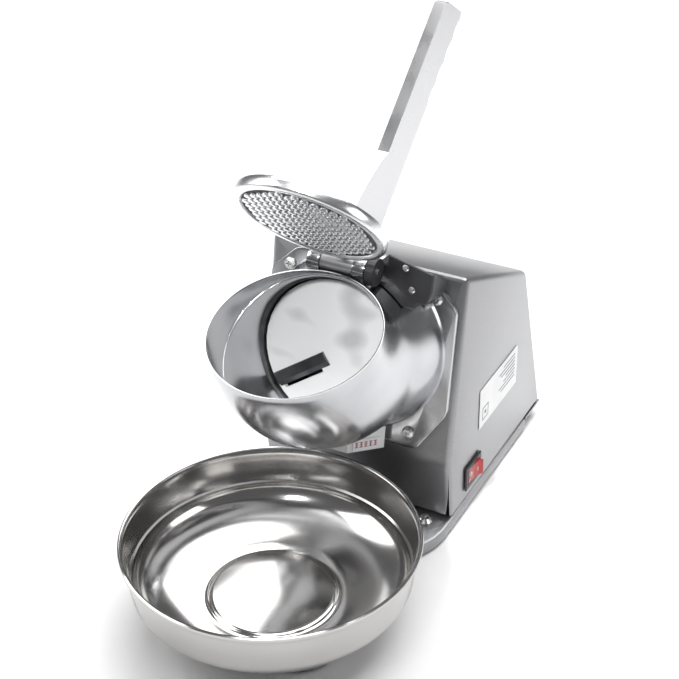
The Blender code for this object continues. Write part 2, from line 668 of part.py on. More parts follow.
def lever_outline():
    """Side of the casting: grip with finger waves behind, web in front that runs down to the plate's back."""
    back, front = 0.0005 - LEVER_WIDTH, 0.0005
    tip = LEVER_LENGTH
    points = [(0.008, -0.012), (0.0255, -0.030), (0.030, back - 0.001), (0.040, back)]
    waves = 4
    wave_start, wave_end = 0.142, tip - 0.004
    points.append((wave_start, back))
    for i in range(waves):
        span = (wave_end - wave_start) / waves
        for t in (0.25, 0.5, 0.75):
            points.append((wave_start + span * (i + t), back + 0.0022 * math.sin(math.pi * t)))
        points.append((wave_start + span * (i + 1), back))
    points += [(tip, back + 0.003), (tip - 0.008, front - 0.004), (tip - 0.011, front)]
    points += [(LEVER_STEP, front), (0.083, 0.0035), (0.077, 0.0065), (0.068, 0.0100), (0.059, 0.0135)]
    rim, web_end = PLATE_OFFSET - PLATE_RADIUS, PLATE_OFFSET - 0.0075
    points += [(0.045, 0.0172), (0.033, 0.0200), (0.024, rim + 0.0120), (0.016, rim + 0.0260)]
    points += [(PLATE_SKIN + 0.0035, web_end), (PLATE_SKIN + 0.0012, web_end),
               (PLATE_SKIN + 0.0012, rim + 0.0110)]
    points += [(PLATE_THICK + 0.0012, rim + 0.0060), (PLATE_THICK + 0.0012, rim - 0.0005)]
    points += [polar(0.0150, math.radians(a)) for a in (52, 40, 30)]
    points += [polar(0.0074, math.radians(a)) for a in (28, -20, -60)]
    return lever_space(points)


def make_lever(looks, hinge):
    half = LEVER_THICK / 2
    lever = side_prism("press_lever", lever_outline(), -half, half, looks["polished"], hinge)
    barrel = 0.0075
    fuse(lever, rod("barrel_body", barrel, -LUG_INNER + GAP, LUG_INNER - GAP, None, hinge, 20, "X"))
    pad = lever_space(rectangle(PLATE_SKIN + GAP, PLATE_FOOT, PLATE_OFFSET - 0.0295, PLATE_OFFSET + 0.0245))
    fuse(lever, side_prism("plate_foot", pad, -0.011, 0.011, None, hinge))
    cut(lever, rod("lever_pin_hole", PIN_RADIUS + GAP, -0.03, 0.03, None, hinge, 16, "X"))
    plate = frame("plate_frame", (0, *polar(PLATE_OFFSET, PLATE_ANGLE)), PLATE_ANGLE + math.pi)
    plate.parent = hinge
    r, skin = PLATE_RADIUS, PLATE_SKIN
    profile = [(0, 0), (r - 0.0065, 0), (r - 0.0058, -0.0010), (r - 0.0015, -0.0010), (r, 0.0006),
               (r, PLATE_THICK - 0.001),
               (r - 0.001, PLATE_THICK), (r - 0.003, PLATE_THICK), (r - 0.0042, skin), (0, skin)]
    disc = turned("press_plate", profile, looks["polished"], plate, 40)
    spots = [(x, y) for y in (0.0175, -0.0125) for x in (-0.0078, 0.0078)]
    top = PLATE_FOOT + GAP
    holes = rods("plate_holes", 0.0022, spots, 0.0012, top + 0.002, plate)
    cut(disc, holes)
    cut(lever, holes)
    for i, (x, y) in enumerate(spots):
        screw(f"plate_screw_{i + 1}", plate, (x, y, top), 0.0030, 0.0018, 0.0018, top - 0.0016,
              looks["screw"], 10)
    end, reach = LUG_INNER + LUG_THICK, CAM_PLACE + CAM_WIDTH / 2 + 0.001
    profile = [(0, -end - 0.0022), (0.0045, -end - 0.0022), (0.0045, -end - GAP), (PIN_RADIUS, -end - GAP),
               (PIN_RADIUS, reach), (0, reach)]
    turned("hinge_pin", profile, looks["steel"], hinge, 16, "X")


def make_switch_case(looks, face):
    """Black case on the flange beside the right lug, with a tongue that runs under the cam."""
    low, hinge_up = 2 * GAP + FLANGE_THICK, ELBOW_RADIUS
    left, tongue, side = CAM_PLACE - 0.0035, CAM_PLACE + 0.0045, HALF - 0.0125
    top, shelf, foot = hinge_up + 0.011, hinge_up + 0.0035, hinge_up - 0.025
    far_top = top - CASE_SLOPE * (side - tongue)
    outline = [(left, foot), (side - 0.009, foot), (side - 0.0025, foot + 0.007), (side, foot + 0.016)]
    outline += [(side, far_top), (tongue, top), (tongue, shelf), (left, shelf)]
    case = prism("switch_case", outline, low, CASE_OUT, looks["black"], face)
    soften(case, 0.0010, 1, 40)
    wedge = bmesh.new()
    back_top, above = top - CASE_FALL, top + 0.02
    run_on = CUTTER_MORE * CASE_FALL / (CASE_OUT - low)
    section = [(back_top, low), (top, CASE_OUT), (above, CASE_OUT), (above, low - CUTTER_MORE)]
    section += [(back_top - run_on, low - CUTTER_MORE)]
    add_prism(wedge, section, left - CUTTER_MORE, side + CUTTER_MORE,
              lambda a, b, h: (h, a - CASE_SLOPE * (h - tongue), b))
    cut(case, place(wedge, "case_slope", None, face))
    ceiling = back_top - 0.0028
    room = [(left + CASE_WALL, foot + CASE_WALL), (side - 0.0155, foot + CASE_WALL),
            (side - 0.012, foot + 0.008), (side - 0.0047, foot + 0.010), (side - 0.004, foot + 0.012),
            (tongue, ceiling), (left + CASE_WALL, ceiling)]
    cut(case, prism("switch_room", room, low - CUTTER_MORE, CASE_OUT - CASE_WALL, None, face))
    pocket = rectangle(left + CASE_WALL, tongue + 0.001, foot + 0.012, hinge_up + 0.0008)
    cut(case, prism("switch_pocket", pocket, POCKET_OUT, CASE_OUT - CASE_WALL, None, face))
    waist = 0.5 * (BORE_RADIUS + HOPPER_WALL + ROOT_RADIUS) + 2 * GAP
    clear = [(0, -CUTTER_MORE), (ROOT_RADIUS + GAP, -CUTTER_MORE), (ROOT_RADIUS + GAP, low + 0.004),
             (waist, 0.5 * MOUTH + 0.003), (BORE_RADIUS + HOPPER_WALL + GAP, MOUTH), (0, MOUTH)]
    cut(case, turned("drum_clear", clear, None, face, 40))
    relief = rods("case_screw_relief", 0.0060, flange_spots()[2:3], low - CUTTER_MORE,
                  CASE_OUT + CUTTER_MORE, face, 20)
    cut(case, relief)
    spots = [(side - 0.0207, foot + 0.0288), (side - 0.0148, foot + 0.0142)]
    cut(case, rods("case_holes", 0.0015, spots, CUTTER_MORE, CASE_OUT + CUTTER_MORE, face))
    for i, (x, y) in enumerate(spots):
        screw(f"case_screw_{i + 1}", face, (x, y, CASE_OUT + GAP), 0.0026, 0.0014, 0.0012, 0.0024,
              looks["screw"], 10)
    return case


def make_safety_switch(looks, face, hinge, case):
    """The switch in the case's tongue, its plunger, and the cam on the hinge pin that presses it."""
    left, right = CAM_PLACE - 0.0035 + CASE_WALL + GAP, CAM_PLACE + 0.0045 - GAP
    across, up = CAM_PLACE + 0.0005, ELBOW_RADIUS - PLUNGER_DROP
    near, far = (left, up - 0.0024, POCKET_OUT + 0.0012), (right, up + 0.0034, CASE_OUT - CASE_WALL - 0.0023)
    body = box("microswitch", near, far, looks["black"], face)
    contact = MOUTH - math.sqrt(CAM_RADIUS**2 - (PLUNGER_DROP - PLUNGER_RADIUS) ** 2)
    tip = contact - PLUNGER_FREE
    rod("switch_plunger", PLUNGER_RADIUS, tip - PLUNGER_LENGTH, tip, looks["black"], face, 12,
        at=(across, up, 0))
    bore = PLUNGER_RADIUS + GAP
    cut(case, rods("plunger_hole", bore, [(across, up)], CASE_OUT - 2 * CASE_WALL, CASE_OUT + CUTTER_MORE,
                   face))
    socket_foot = tip - PLUNGER_LENGTH - 0.003
    cut(body, rods("plunger_socket", bore, [(across, up)], socket_foot, CASE_OUT + CUTTER_MORE, face))
    back = Vector((-PLUNGER_DROP, contact - MOUTH))  # up the face and out of it
    c, s = math.cos(LEAN), math.sin(LEAN)
    start = math.atan2(back.x * c + back.y * s, back.x * s - back.y * c)
    steps, full, return_start = 24, 2 * math.pi, 1.5 * math.pi
    outline = []
    for i in range(steps):
        turn = full * i / steps
        rise = min(turn / LEVER_SWING, 1)
        if turn >= return_start:
            rise = (full - turn) / (full - return_start)
        outline.append(polar(CAM_RADIUS + CAM_RISE * rise, start - turn))
    half = CAM_WIDTH / 2
    cam = side_prism("safety_cam", outline, CAM_PLACE - half, CAM_PLACE + half, looks["black"], hinge)
    fuse(cam, rod("cam_hub", 0.006, LUG_INNER + LUG_THICK + 0.001, CAM_PLACE, None, hinge, 20, "X"))
    cut(cam, rod("cam_bore", PIN_RADIUS + GAP, 0, 2 * CAM_PLACE, None, hinge, 16, "X"))


def make_rocker(looks, shell):
    """Rocker switch in the housing's right side: bezel, its body through the wall, and the rocker in it."""
    spot = (HALF, FRONT_FOOT_Y + SWITCH_BACK, PLATFORM_RISE + SWITCH_RISE)
    side = frame("rocker_frame", spot)
    half_y, half_z = ROCKER_LENGTH / 2, ROCKER_HEIGHT / 2

    def slab(name, low, high, draw_in, look=None):
        bm = bmesh.new()
        outline = rectangle(-half_y + draw_in, half_y - draw_in, -half_z + draw_in, half_z - draw_in)
        add_prism(bm, outline, low, high, lambda a, b, h: (h, a, b))
        return place(bm, name, look, side)

    cut(shell, slab("switch_opening", -0.01, 0.01, 0.0018))
    bezel = slab("rocker_bezel", GAP, 0.0022, 0, looks["black"])
    soften(bezel, 0.0008, 1, 40)
    fuse(bezel, slab("switch_body", -0.014, 0.001, 0.0022))
    cut(bezel, slab("rocker_well", -0.0115, 0.01, 0.0038))
    reach, depth = half_y - 0.0048, 0.0028
    outline = [(reach, 0.0058), (0.55 * reach, 0.0036), (0, 0.0024), (-0.55 * reach, 0.0020),
               (-reach, 0.0022), (-reach * 0.8, -depth - 0.002), (0, -depth - 0.004),
               (reach * 0.8, -depth - 0.002)]
    bm = bmesh.new()
    rise = half_z - 0.0042
    add_prism(bm, outline, -rise, rise, lambda a, b, h: (b, a, h))
    place(bm, "switch_rocker", looks["red"], side)
    front, foot = spot[1] + 0.011, PLATFORM_RISE + LABEL_RISE
    outline = rectangle(front, front + LABEL_LENGTH, foot, foot + LABEL_HEIGHT)
    side_prism("rating_label", outline, HALF + GAP, HALF + GAP + SHEET, looks["label"])


def make_bowl(looks):
    stand = frame("bowl_frame", (0, BOWL_Y, PLATFORM_RISE + GAP))
    top, wall = BOWL_DEPTH, BOWL_WALL
    shoulder, shoulder_r = top - BOWL_SHOULDER, BOWL_SHOULDER_RADIUS
    base = BOWL_BASE_RADIUS
    outside = [(0, 0.0022), (base - 0.006, 0.0022), (base - 0.003, 0), (base + 0.002, 0)]
    for i in range(1, 5):
        a = math.radians(90 * i / 5)
        outside.append((base + 0.002 + (shoulder_r - base - 0.002) * math.sin(a),
                        shoulder * (1 - math.cos(a))))
    outside += [(shoulder_r, shoulder), (BOWL_RADIUS - 0.0022, top - 0.003), (BOWL_RADIUS, top - 0.0022),
                (BOWL_RADIUS, top - 0.0006), (BOWL_RADIUS - 0.001, top)]
    inside = [(BOWL_RADIUS - 0.0028, top), (BOWL_RADIUS - 0.0032, top - 0.002),
              (shoulder_r - wall, shoulder + 0.0008)]
    for i in range(4, 0, -1):
        a = math.radians(90 * i / 5)
        reach = base + 0.002 + (shoulder_r - base - 0.002) * math.sin(a) - wall * 0.6
        inside.append((reach, shoulder * (1 - math.cos(a)) + wall))
    inside += [(base, wall), (base - 0.002, 0.0022 + wall + 0.0006), (0, 0.0022 + wall)]
    turned("serving_bowl", outside + inside, looks["bowl"], stand, 40)


def make_foot_screws(looks):
    """Screws that hold the housing's foot to the platform in front."""
    floor = frame("platform_frame", (0, 0, PLATFORM_RISE + GAP))
    spots = [(side * (HALF - 0.017), FRONT_FOOT_Y - 0.009) for side in (-1, 1)]
    for i, (x, y) in enumerate(spots):
        screw(f"foot_screw_{i + 1}", floor, (x, y, 0), 0.0058, 0.0036, 0.002, 0.004, looks["screw"], 16)
    return rods("foot_screw_holes", 0.0024, spots, -0.01, 0.01, floor)


def main():
    clear_scene()
    looks = {
        "housing": paint("silver_paint", (0.52, 0.53, 0.55), 0.38, 0.6),
        "cast": paint("polished_casting", (0.72, 0.73, 0.75), 0.2, 1.0),
        "polished": paint("polished_plate", (0.80, 0.81, 0.83), 0.15, 1.0),
        "steel": paint("steel", (0.60, 0.60, 0.62), 0.25, 1.0),
        "bowl": paint("mirror_steel", (0.70, 0.69, 0.68), 0.08, 1.0),
        "screw": paint("zinc_screw", (0.75, 0.75, 0.74), 0.3, 1.0),
        "chute": paint("white_moulding", (0.85, 0.85, 0.85), 0.4, 0.0),
        "label": paint("white_label", (0.90, 0.90, 0.90), 0.5, 0.0),
        "black": paint("black_moulding", (0.03, 0.03, 0.035), 0.4, 0.0),
        "red": paint("red_moulding", (0.70, 0.05, 0.04), 0.3, 0.0),
        "rubber": paint("grey_rubber", (0.10, 0.10, 0.10), 0.8, 0.0),
        "motor": paint("motor_casting", (0.45, 0.46, 0.47), 0.5, 0.8),
        "core": paint("core_steel", (0.25, 0.25, 0.26), 0.5, 0.9),
    }
    platform = make_base(looks)
    shell = make_housing(looks)
    make_back(looks, shell)
    face = frame("face_frame", (0, FACE.x, FACE.y), math.pi / 2 - LEAN)
    hopper = make_hopper(looks, face, shell)
    make_chute(looks, face, hopper)
    make_disc(looks, face)
    core = make_drive(looks, face)
    make_motor_bracket(looks, core)
    c, s = math.cos(LEAN), math.sin(LEAN)
    hinge_y = FACE.x - MOUTH * c + ELBOW_RADIUS * s
    hinge = frame("hinge_frame", (0, hinge_y, FACE.y + MOUTH * s + ELBOW_RADIUS * c))
    make_lever(looks, hinge)
    case = make_switch_case(looks, face)
    make_safety_switch(looks, face, hinge, case)
    make_rocker(looks, shell)
    make_bowl(looks)
    cut(platform, make_foot_screws(looks))


main()
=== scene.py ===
import json
import math

import bpy
from mathutils import Matrix, Vector


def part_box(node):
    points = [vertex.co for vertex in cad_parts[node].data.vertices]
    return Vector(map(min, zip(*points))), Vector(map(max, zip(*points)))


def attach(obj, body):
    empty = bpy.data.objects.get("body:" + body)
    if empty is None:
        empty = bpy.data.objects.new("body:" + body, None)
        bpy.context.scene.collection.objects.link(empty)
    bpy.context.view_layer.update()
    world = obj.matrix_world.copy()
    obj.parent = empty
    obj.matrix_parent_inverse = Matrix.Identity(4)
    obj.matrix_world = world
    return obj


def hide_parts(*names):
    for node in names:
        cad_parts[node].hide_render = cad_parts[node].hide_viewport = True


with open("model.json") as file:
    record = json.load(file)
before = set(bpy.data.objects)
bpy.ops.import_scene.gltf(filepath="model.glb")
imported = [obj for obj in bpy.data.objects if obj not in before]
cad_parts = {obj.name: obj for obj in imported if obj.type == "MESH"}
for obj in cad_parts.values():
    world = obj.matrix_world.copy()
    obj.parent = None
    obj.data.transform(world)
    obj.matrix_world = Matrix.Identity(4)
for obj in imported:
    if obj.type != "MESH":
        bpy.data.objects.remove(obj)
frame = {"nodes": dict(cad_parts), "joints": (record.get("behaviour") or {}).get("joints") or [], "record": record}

print("Shaved ice machine: frame loaded")
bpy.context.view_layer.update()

joints = {joint["name"]: joint for joint in frame["joints"]}
motorSeat = Vector(joints["cutter_spin"]["pos_m"])  # where the motor's axis meets the housing's front
motorAxis = Vector(joints["cutter_spin"]["axis"])
hingePlace = Vector(joints["lever_hinge"]["pos_m"])
frontLean = math.atan2(motorAxis.z, -motorAxis.y)
faceTip = math.pi / 2 - frontLean  # turns a piece built on +Z so that it stands out of the front
gap = 0.0003
mergeDistance = 0.000002


def pick(*chosen):
    if bpy.context.object and bpy.context.object.mode != "OBJECT":
        bpy.ops.object.mode_set(mode="OBJECT")
    bpy.ops.object.select_all(action="DESELECT")
    for piece in chosen:
        piece.select_set(True)
        bpy.context.view_layer.objects.active = piece


def named(name):
    piece = bpy.context.object
    piece.name = name
    piece.data.name = name
    return piece


def edit(piece, chosen="NONE"):
    # opens the piece in edit mode with nothing, or everything, selected
    pick(piece)
    bpy.ops.object.mode_set(mode="EDIT")
    bpy.ops.mesh.select_mode(type="VERT")
    bpy.ops.mesh.select_all(action="SELECT" if chosen == "ALL" else "DESELECT")


def pickFaces(piece, test):
    # selects the faces that pass the test, from edit mode and back into it
    bpy.ops.mesh.select_mode(type="FACE")
    bpy.ops.mesh.select_all(action="DESELECT")
    bpy.ops.object.mode_set(mode="OBJECT")
    for face in piece.data.polygons:
        face.select = test(face.center, face.normal)
    bpy.ops.object.mode_set(mode="EDIT")


def pickEdges(piece, test):
    bpy.ops.mesh.select_mode(type="EDGE")
    bpy.ops.mesh.select_all(action="DESELECT")
    bpy.ops.object.mode_set(mode="OBJECT")
    points = piece.data.vertices
    for edge in piece.data.edges:
        edge.select = test(points[edge.vertices[0]].co, points[edge.vertices[1]].co)
    bpy.ops.object.mode_set(mode="EDIT")


def applyChanges(piece):
    pick(piece)
    for change in list(piece.modifiers):
        bpy.ops.object.modifier_apply(modifier=change.name)


def standAt(piece, place, tip=0.0):
    # stands a piece that was built at the origin in its place, and keeps the place in its mesh
    piece.location = place
    piece.rotation_euler = (tip, 0, 0)
    pick(piece)
    bpy.ops.object.transform_apply(location=True, rotation=True, scale=True)


def joined(name, *several):
    pick(*several)
    bpy.ops.object.join()
    return named(name)


def cutBy(piece, tool, how="DIFFERENCE"):
    change = piece.modifiers.new("cut", "BOOLEAN")
    change.operation = how
    change.solver = "EXACT"
    change.object = tool
    applyChanges(piece)
    bpy.data.objects.remove(tool)


def rounded(piece, width, segments=2, angle=40):
    change = piece.modifiers.new("edges", "BEVEL")
    change.width = width
    change.segments = segments
    change.limit_method = "ANGLE"
    change.angle_limit = math.radians(angle)
    change.harden_normals = False
    applyChanges(piece)


def smooth(piece, angle=35):
    pick(piece)
    bpy.ops.object.shade_smooth_by_angle(angle=math.radians(angle))


def evened(piece):
    # keeps big flat faces flat where narrow rounded edges meet them
    change = piece.modifiers.new("normals", "WEIGHTED_NORMAL")
    change.keep_sharp = True
    applyChanges(piece)


def finished(piece, body, finish, nodes=(), angle=35):
    # last step of every piece: finish, smoothing, and the body it moves with
    if finish is not None:
        piece.data.materials.clear()
        piece.data.materials.append(finish)
    smooth(piece, angle)
    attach(piece, body)
    if nodes:
        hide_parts(*nodes)
    return piece


def turned(name, rings, steps=96, ends="FILLED"):
    # (radius, height) rings about Z: the first is drawn, each next one is extruded from the one before
    radius, height = rings[0]
    bpy.ops.object.select_all(action="DESELECT")
    fill = "NGON" if ends == "FILLED" else "NOTHING"
    bpy.ops.mesh.primitive_circle_add(vertices=steps, radius=radius, fill_type=fill, location=(0, 0, height))
    piece = named(name)
    bpy.ops.object.transform_apply(location=True, rotation=True, scale=True)
    edit(piece, "ALL")
    for nextRadius, nextHeight in rings[1:]:
        growRing(radius, height, nextRadius, nextHeight)
        radius, height = nextRadius, nextHeight
    if ends == "FILLED":
        bpy.ops.mesh.edge_face_add()
    closeUp(piece)
    return piece


def growRing(radius, height, nextRadius, nextHeight):
    bpy.ops.mesh.extrude_edges_move(TRANSFORM_OT_translate={"value": (0, 0, nextHeight - height)})
    scale = nextRadius / radius
    bpy.ops.transform.resize(value=(scale, scale, 1), center_override=(0, 0, nextHeight))


def closeUp(piece):
    edit(piece, "ALL")
    bpy.ops.mesh.remove_doubles(threshold=mergeDistance)
    bpy.ops.mesh.normals_make_consistent(inside=False)
    bpy.ops.object.mode_set(mode="OBJECT")


def block(name, low, high):
    low, high = Vector(low), Vector(high)
    bpy.ops.object.select_all(action="DESELECT")
    bpy.ops.mesh.primitive_cube_add(size=1, location=(low + high) / 2)
    piece = named(name)
    piece.scale = high - low
    bpy.ops.object.transform_apply(location=True, rotation=True, scale=True)
    return piece


def trimmed(piece, place, outward):
    # cuts away all that lies outward of a plane
    edit(piece, "ALL")
    bpy.ops.mesh.bisect(plane_co=place, plane_no=outward, use_fill=True, clear_outer=True)
    bpy.ops.object.mode_set(mode="OBJECT")


def copied(name, node, flatAngle=1.0):
    # a copy of a CAD node, with its loose triangles sewn into whole faces
    source = frame["nodes"][node]
    piece = bpy.data.objects.new(name, source.data.copy())
    bpy.context.scene.collection.objects.link(piece)
    edit(piece, "ALL")
    bpy.ops.mesh.remove_doubles(threshold=mergeDistance)
    bpy.ops.mesh.dissolve_limited(angle_limit=math.radians(flatAngle))
    bpy.ops.object.mode_set(mode="OBJECT")
    return piece


def newFinish(name, colour, metallic, roughness):
    finish = bpy.data.materials.new(name)
    finish.use_nodes = True
    shader = finish.node_tree.nodes["Principled BSDF"]
    shader.inputs["Base Color"].default_value = (*colour, 1)
    shader.inputs["Metallic"].default_value = metallic
    shader.inputs["Roughness"].default_value = roughness
    return finish, shader


def pattern(finish, scale, detail=3.0, stretch=(1, 1, 1)):
    # noise on the piece's own coordinates
    nodes, links = finish.node_tree.nodes, finish.node_tree.links
    place = nodes.new("ShaderNodeTexCoord")
    mapping = nodes.new("ShaderNodeMapping")
    mapping.inputs["Scale"].default_value = stretch
    noise = nodes.new("ShaderNodeTexNoise")
    noise.inputs["Scale"].default_value = scale
    noise.inputs["Detail"].default_value = detail
    links.new(place.outputs["Object"], mapping.inputs["Vector"])
    links.new(mapping.outputs["Vector"], noise.inputs["Vector"])
    return noise


def spread(finish, source, low, high, fromLow=0.3, fromHigh=0.7):
    band = finish.node_tree.nodes.new("ShaderNodeMapRange")
    band.inputs["From Min"].default_value = fromLow
    band.inputs["From Max"].default_value = fromHigh
    band.inputs["To Min"].default_value = low
    band.inputs["To Max"].default_value = high
    finish.node_tree.links.new(source, band.inputs["Value"])
    return band.outputs["Result"]


def tinted(finish, source, stops):
    ramp = finish.node_tree.nodes.new("ShaderNodeValToRGB")
    steps = ramp.color_ramp.elements
    steps[0].position, steps[1].position = stops[0][0], stops[-1][0]
    steps[0].color, steps[1].color = (*stops[0][1], 1), (*stops[-1][1], 1)
    for place, colour in stops[1:-1]:
        steps.new(place).color = (*colour, 1)
    finish.node_tree.links.new(source, ramp.inputs["Fac"])
    return ramp.outputs["Color"]


def raised(finish, shader, source, strength, distance, under=None):
    bump = finish.node_tree.nodes.new("ShaderNodeBump")
    bump.inputs["Strength"].default_value = strength
    bump.inputs["Distance"].default_value = distance
    finish.node_tree.links.new(source, bump.inputs["Height"])
    if under:
        finish.node_tree.links.new(under.outputs["Normal"], bump.inputs["Normal"])
    finish.node_tree.links.new(bump.outputs["Normal"], shader.inputs["Normal"])
    return bump


def metal(name, colour, darker, roughness, mottle=40, grain=900, grainHeight=0.00002, wave=0.0,
          stretch=(1, 1, 1)):
    # metal with cloudy tone, uneven polish, fine grain and, where cast, a slow wave in the surface
    finish, shader = newFinish(name, colour, 1.0, roughness)
    links = finish.node_tree.links
    clouds = pattern(finish, mottle, 4.0)
    tone = tinted(finish, clouds.outputs["Fac"], [(0.35, darker), (0.65, colour)])
    polish = spread(finish, clouds.outputs["Fac"], roughness * 0.8, roughness * 1.25)
    links.new(tone, shader.inputs["Base Color"])
    links.new(polish, shader.inputs["Roughness"])
    fine = pattern(finish, grain, 3.0, stretch)
    bump = raised(finish, shader, fine.outputs["Fac"], 0.5, grainHeight)
    if wave:
        slow = pattern(finish, 28, 1.0)
        raised(finish, shader, slow.outputs["Fac"], 0.6, wave, bump)
    return finish


def moulded(name, colour, roughness, grain=700, grainHeight=0.00003):
    finish, shader = newFinish(name, colour, 0.0, roughness)
    links = finish.node_tree.links
    clouds = pattern(finish, 25, 3.0)
    darker = tuple(0.86 * part for part in colour)
    tone = tinted(finish, clouds.outputs["Fac"], [(0.3, darker), (0.7, colour)])
    gloss = spread(finish, clouds.outputs["Fac"], roughness * 0.88, roughness * 1.12)
    links.new(tone, shader.inputs["Base Color"])
    links.new(gloss, shader.inputs["Roughness"])
    fine = pattern(finish, grain, 2.0)
    raised(finish, shader, fine.outputs["Fac"], 0.4, grainHeight)
    return finish


def silverPaint():
    # metallic paint: flakes under a thin clear coat, and a faint orange peel
    finish, shader = newFinish("silverPaint", (0.30, 0.30, 0.31), 0.9, 0.36)
    links = finish.node_tree.links
    flakes = pattern(finish, 2600, 2.0)
    tone = tinted(finish, flakes.outputs["Fac"], [(0.3, (0.25, 0.25, 0.26)), (0.7, (0.36, 0.36, 0.37))])
    links.new(tone, shader.inputs["Base Color"])
    links.new(spread(finish, flakes.outputs["Fac"], 0.30, 0.42), shader.inputs["Roughness"])
    peel = pattern(finish, 420, 2.0)
    raised(finish, shader, peel.outputs["Fac"], 0.25, 0.00004)
    shader.inputs["Coat Weight"].default_value = 0.25
    shader.inputs["Coat Roughness"].default_value = 0.12
    return finish


def satinDisc():
    # bead-blasted face: partly matt, with a few wide grey smudges
    finish, shader = newFinish("satinDisc", (0.93, 0.93, 0.935), 0.2, 0.42)
    links = finish.node_tree.links
    smudges = pattern(finish, 24, 1.0, (1, 0.5, 1.6))
    tone = tinted(finish, smudges.outputs["Fac"], [(0.30, (0.62, 0.62, 0.63)), (0.46, (0.95, 0.95, 0.95))])
    links.new(tone, shader.inputs["Base Color"])
    links.new(spread(finish, smudges.outputs["Fac"], 0.34, 0.48), shader.inputs["Roughness"])
    grain = pattern(finish, 1100, 2.0)
    raised(finish, shader, grain.outputs["Fac"], 0.3, 0.00002)
    return finish


def laminations():
    finish, shader = newFinish("coreSteel", (0.25, 0.25, 0.26), 0.9, 0.5)
    links = finish.node_tree.links
    place = finish.node_tree.nodes.new("ShaderNodeTexCoord")
    mapping = finish.node_tree.nodes.new("ShaderNodeMapping")
    mapping.inputs["Rotation"].default_value = (-faceTip, 0, 0)
    wave = finish.node_tree.nodes.new("ShaderNodeTexWave")
    wave.bands_direction = "Z"
    wave.inputs["Scale"].default_value = 320
    links.new(place.outputs["Object"], mapping.inputs["Vector"])
    links.new(mapping.outputs["Vector"], wave.inputs["Vector"])
    tone = tinted(finish, wave.outputs["Fac"], [(0.2, (0.12, 0.12, 0.125)), (0.6, (0.30, 0.30, 0.31))])
    links.new(tone, shader.inputs["Base Color"])
    raised(finish, shader, wave.outputs["Fac"], 0.6, 0.0001)
    return finish


finishes = {
    "housing": silverPaint(),
    "casting": metal("polishedCasting", (0.56, 0.565, 0.58), (0.48, 0.485, 0.50), 0.2, 30, 800,
                     wave=0.0003),
    "plate": metal("polishedPlate", (0.82, 0.82, 0.83), (0.75, 0.75, 0.76), 0.24, 35, wave=0.0002),
    # painted shade: a dark finish for the plate's sunk face between the knobs, standing in for the shade in the
    # grooves
    "sunkFaceShade": metal("sunkFacePaintedShade", (0.16, 0.16, 0.165), (0.08, 0.08, 0.085), 0.6, 60, 700, 0.00005),
    # painted shade: a dark copy of the casting's finish for the inside of the drum, standing in for the shade
    # inside it
    "drumInsidePaintedShade": metal("drumInsidePaintedShade", (0.20, 0.20, 0.205), (0.12, 0.12, 0.125), 0.45, 60, 700, 0.00004),
    "lever": metal("leverMetal", (0.58, 0.58, 0.59), (0.54, 0.54, 0.55), 0.28, 20),
    "disc": satinDisc(),
    "blade": metal("groundSteel", (0.22, 0.22, 0.23), (0.16, 0.16, 0.17), 0.34, 60, 1200,
                   stretch=(1, 6, 6)),
    "steel": metal("turnedSteel", (0.60, 0.60, 0.62), (0.52, 0.52, 0.54), 0.25),
    "bowl": metal("mirrorSteel", (0.58, 0.57, 0.56), (0.54, 0.53, 0.52), 0.13, 15, 1400, 0.000004),
    "screw": metal("zincScrew", (0.78, 0.78, 0.77), (0.66, 0.66, 0.65), 0.26, 300, 2000),
    "motor": metal("motorCasting", (0.45, 0.46, 0.47), (0.36, 0.37, 0.38), 0.5, 90, 600, 0.0001),
    "core": laminations(),
    "chute": moulded("whiteMoulding", (0.86, 0.86, 0.86), 0.36),
    "label": moulded("whiteLabel", (0.88, 0.88, 0.88), 0.45, 300, 0.00001),
    "black": moulded("blackMoulding", (0.028, 0.028, 0.031), 0.42, 900, 0.00005),
    "red": moulded("redMoulding", (0.44, 0.03, 0.028), 0.25, 500, 0.00001),
    "print": moulded("printedMark", (0.92, 0.92, 0.92), 0.4),
    "ink": moulded("greyInk", (0.22, 0.22, 0.23), 0.5),
    "redInk": moulded("redInk", (0.45, 0.12, 0.12), 0.5),
    "rubber": moulded("greyRubber", (0.08, 0.08, 0.08), 0.75, 500, 0.00008),
}
print("Finishes made:", len(finishes))

# every CAD node gets the finish of its slot; pieces below then replace the ones that show most
slotFinish = {
    "silver_paint": "housing", "polished_casting": "casting", "polished_plate": "plate", "steel": "steel",
    "mirror_steel": "bowl", "zinc_screw": "screw", "white_moulding": "chute", "white_label": "label",
    "black_moulding": "black", "red_moulding": "red", "grey_rubber": "rubber", "motor_casting": "motor",
    "core_steel": "core",
}
for part in frame["record"]["subparts"]:
    mesh = frame["nodes"][part["node"]].data
    mesh.materials.clear()
    mesh.materials.append(finishes[slotFinish[part["material_slot"]]])
frame["nodes"]["blade"].data.materials[0] = finishes["blade"]
frame["nodes"]["blade_disc"].data.materials[0] = finishes["disc"]


# sewn and rounded copies of the CAD nodes whose shape is already right
copies = [
    # name, node, body, finish, slot, edge width, edge steps, smoothing angle
    ("housingPanels", "housing_shell", "machine", "housing", "silver_paint", 0.0, 0, 30),
    ("platformPan", "base_platform", "machine", "housing", "silver_paint", 0.0, 0, 30),
    ("switchCover", "switch_case", "machine", "black", "black_moulding", 0.0, 0, 30),
    ("chuteBox", "ice_chute", "machine", "chute", "white_moulding", 0.0008, 2, 50),
    ("cutterDisc", "blade_disc", "cutter", "disc", "polished_plate", 0.0004, 2, 50),
    ("cutterBlade", "blade", "cutter", "blade", "steel", 0.0003, 2, 50),
    ("rearPanel", "rear_cover", "machine", "housing", "silver_paint", 0.0004, 2, 50),
    ("inletGland", "cord_inlet_gland", "machine", "black", "black_moulding", 0.0004, 2, 50),
    ("leverCasting", "press_lever", "lever", "lever", "polished_plate", 0.0014, 3, 35),
]
